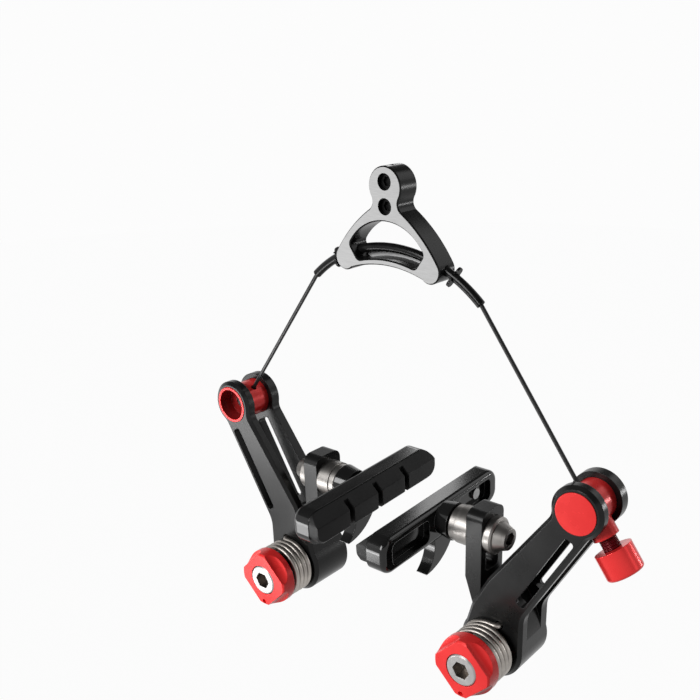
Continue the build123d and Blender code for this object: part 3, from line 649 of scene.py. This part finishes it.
def stage_material(name):
    """White floor: its own white to the camera and in reflections, and lit so that a shadow stays."""
    material = bpy.data.materials.new(name)
    material.use_nodes = True
    tree = material.node_tree
    tree.nodes.clear()
    output = tree.nodes.new("ShaderNodeOutputMaterial")
    mixed = tree.nodes.new("ShaderNodeMixShader")
    matt = tree.nodes.new("ShaderNodeBsdfDiffuse")
    matt.inputs["Color"].default_value = grey(FLOOR_GREY)
    glow = tree.nodes.new("ShaderNodeEmission")
    share = tree.nodes.new("ShaderNodeMath")
    share.operation = "MULTIPLY"
    share.inputs[1].default_value = FLOOR_WHITE
    tree.links.new(seen_rays(tree), share.inputs[0])
    tree.links.new(share.outputs["Value"], mixed.inputs["Fac"])
    tree.links.new(matt.outputs["BSDF"], mixed.inputs[1])
    tree.links.new(glow.outputs["Emission"], mixed.inputs[2])
    tree.links.new(mixed.outputs["Shader"], output.inputs["Surface"])
    return material


def seen_rays(tree):
    """1 for camera, glossy and transmission rays."""
    rays = tree.nodes.new("ShaderNodeLightPath")
    total = rays.outputs["Is Camera Ray"]
    for kind in ("Is Glossy Ray", "Is Transmission Ray"):
        step = tree.nodes.new("ShaderNodeMath")
        step.operation = "MAXIMUM"
        tree.links.new(total, step.inputs[0])
        tree.links.new(rays.outputs[kind], step.inputs[1])
        total = step.outputs["Value"]
    return total


def round_stage(name):
    """A flat disc, a curve and a wall, as one smooth sheet that faces inwards."""
    profile = [(FLOOR_RADIUS, FLOOR_Z)]
    for step in range(1, CURVE_STEPS + 1):
        turn = pi / 2 * step / CURVE_STEPS
        profile.append((FLOOR_RADIUS + FLOOR_CURVE * sin(turn), FLOOR_Z + FLOOR_CURVE * (1 - cos(turn))))
    profile.append((FLOOR_RADIUS + FLOOR_CURVE, WALL_TOP))
    made = bmesh.new()
    rings = []
    for radius, height in profile:
        ring = []
        for side in range(FLOOR_SIDES):
            angle = tau * side / FLOOR_SIDES
            ring.append(made.verts.new((radius * cos(angle), radius * sin(angle), height)))
        rings.append(ring)
    made.faces.new(rings[0])
    join_rings(made, rings)
    piece = new_piece(name, finished_mesh(name, made, smooth=True))
    piece.data.materials.append(stage_material(name))
    return piece


floor = round_stage("floor")

world = bpy.data.worlds.new("studio")
world.use_nodes = True
bpy.context.scene.world = world
world.node_tree.nodes["Background"].inputs["Color"].default_value = grey(WORLD_GREY)


def panel(name, place, aim, width, height, watts):
    """A soft rectangular lamp that looks at a point."""
    lamp = bpy.data.lights.new(name, "AREA")
    lamp.shape = "RECTANGLE"
    lamp.size = width
    lamp.size_y = height
    lamp.energy = watts
    made = bpy.data.objects.new(name, lamp)
    made.location = place
    made.rotation_mode = "QUATERNION"
    made.rotation_quaternion = (Vector(aim) - Vector(place)).to_track_quat("-Z", "Y")
    made.visible_camera = False
    bpy.context.scene.collection.objects.link(made)


middle = (cad_box[0] + cad_box[1]) / 2
# The key lights the front faces. The others are seen as reflections: the back ones and the right one on the
# tops and right sides, the low ones on the left arm's front and on the ends of the pad holders.
panel("key", place=(-0.24, -0.84, 0.46), aim=middle, width=0.45, height=0.45, watts=8.4)
panel("back", place=(-0.53, 0.70, 0.483), aim=middle, width=0.06, height=0.3, watts=0.2)
panel("back_top", place=(0.36, 0.68, 0.68), aim=middle, width=0.5, height=0.5, watts=1.3)
panel("right", place=(0.75, 0.15, 0.45), aim=middle, width=0.2, height=0.6, watts=0.35)
panel("back_right", place=(0.45, 0.55, 0.08), aim=middle, width=0.06, height=0.10, watts=0.6)
left_front = (-0.155, 0.0, 0.04)
pad_ends = (0.0, 0.0, 0.02)
panel("low_left", place=(-0.155, -0.16, -0.035), aim=left_front, width=0.21, height=0.04, watts=0.29)
panel("low_ends", place=(-0.10, -0.145, -0.058), aim=pad_ends, width=0.09, height=0.028, watts=0.055)

camera_data = bpy.data.cameras.new("camera")
camera_data.sensor_width = SENSOR_WIDTH
camera_data.lens = FOCAL_PIXELS / IMAGE_SIZE * SENSOR_WIDTH
camera_data.shift_x = (IMAGE_SIZE / 2 - PRINCIPAL_X) / IMAGE_SIZE
camera_data.shift_y = (PRINCIPAL_Y - IMAGE_SIZE / 2) / IMAGE_SIZE
camera_data.clip_start = CLIP_START
camera = bpy.data.objects.new("camera", camera_data)
camera.location = CAMERA_PLACE
camera.rotation_euler = (radians(90 - CAMERA_ELEVATION), 0, radians(CAMERA_AZIMUTH))
bpy.context.scene.collection.objects.link(camera)
bpy.context.scene.camera = camera
bpy.context.scene.view_settings.view_transform = "Standard"
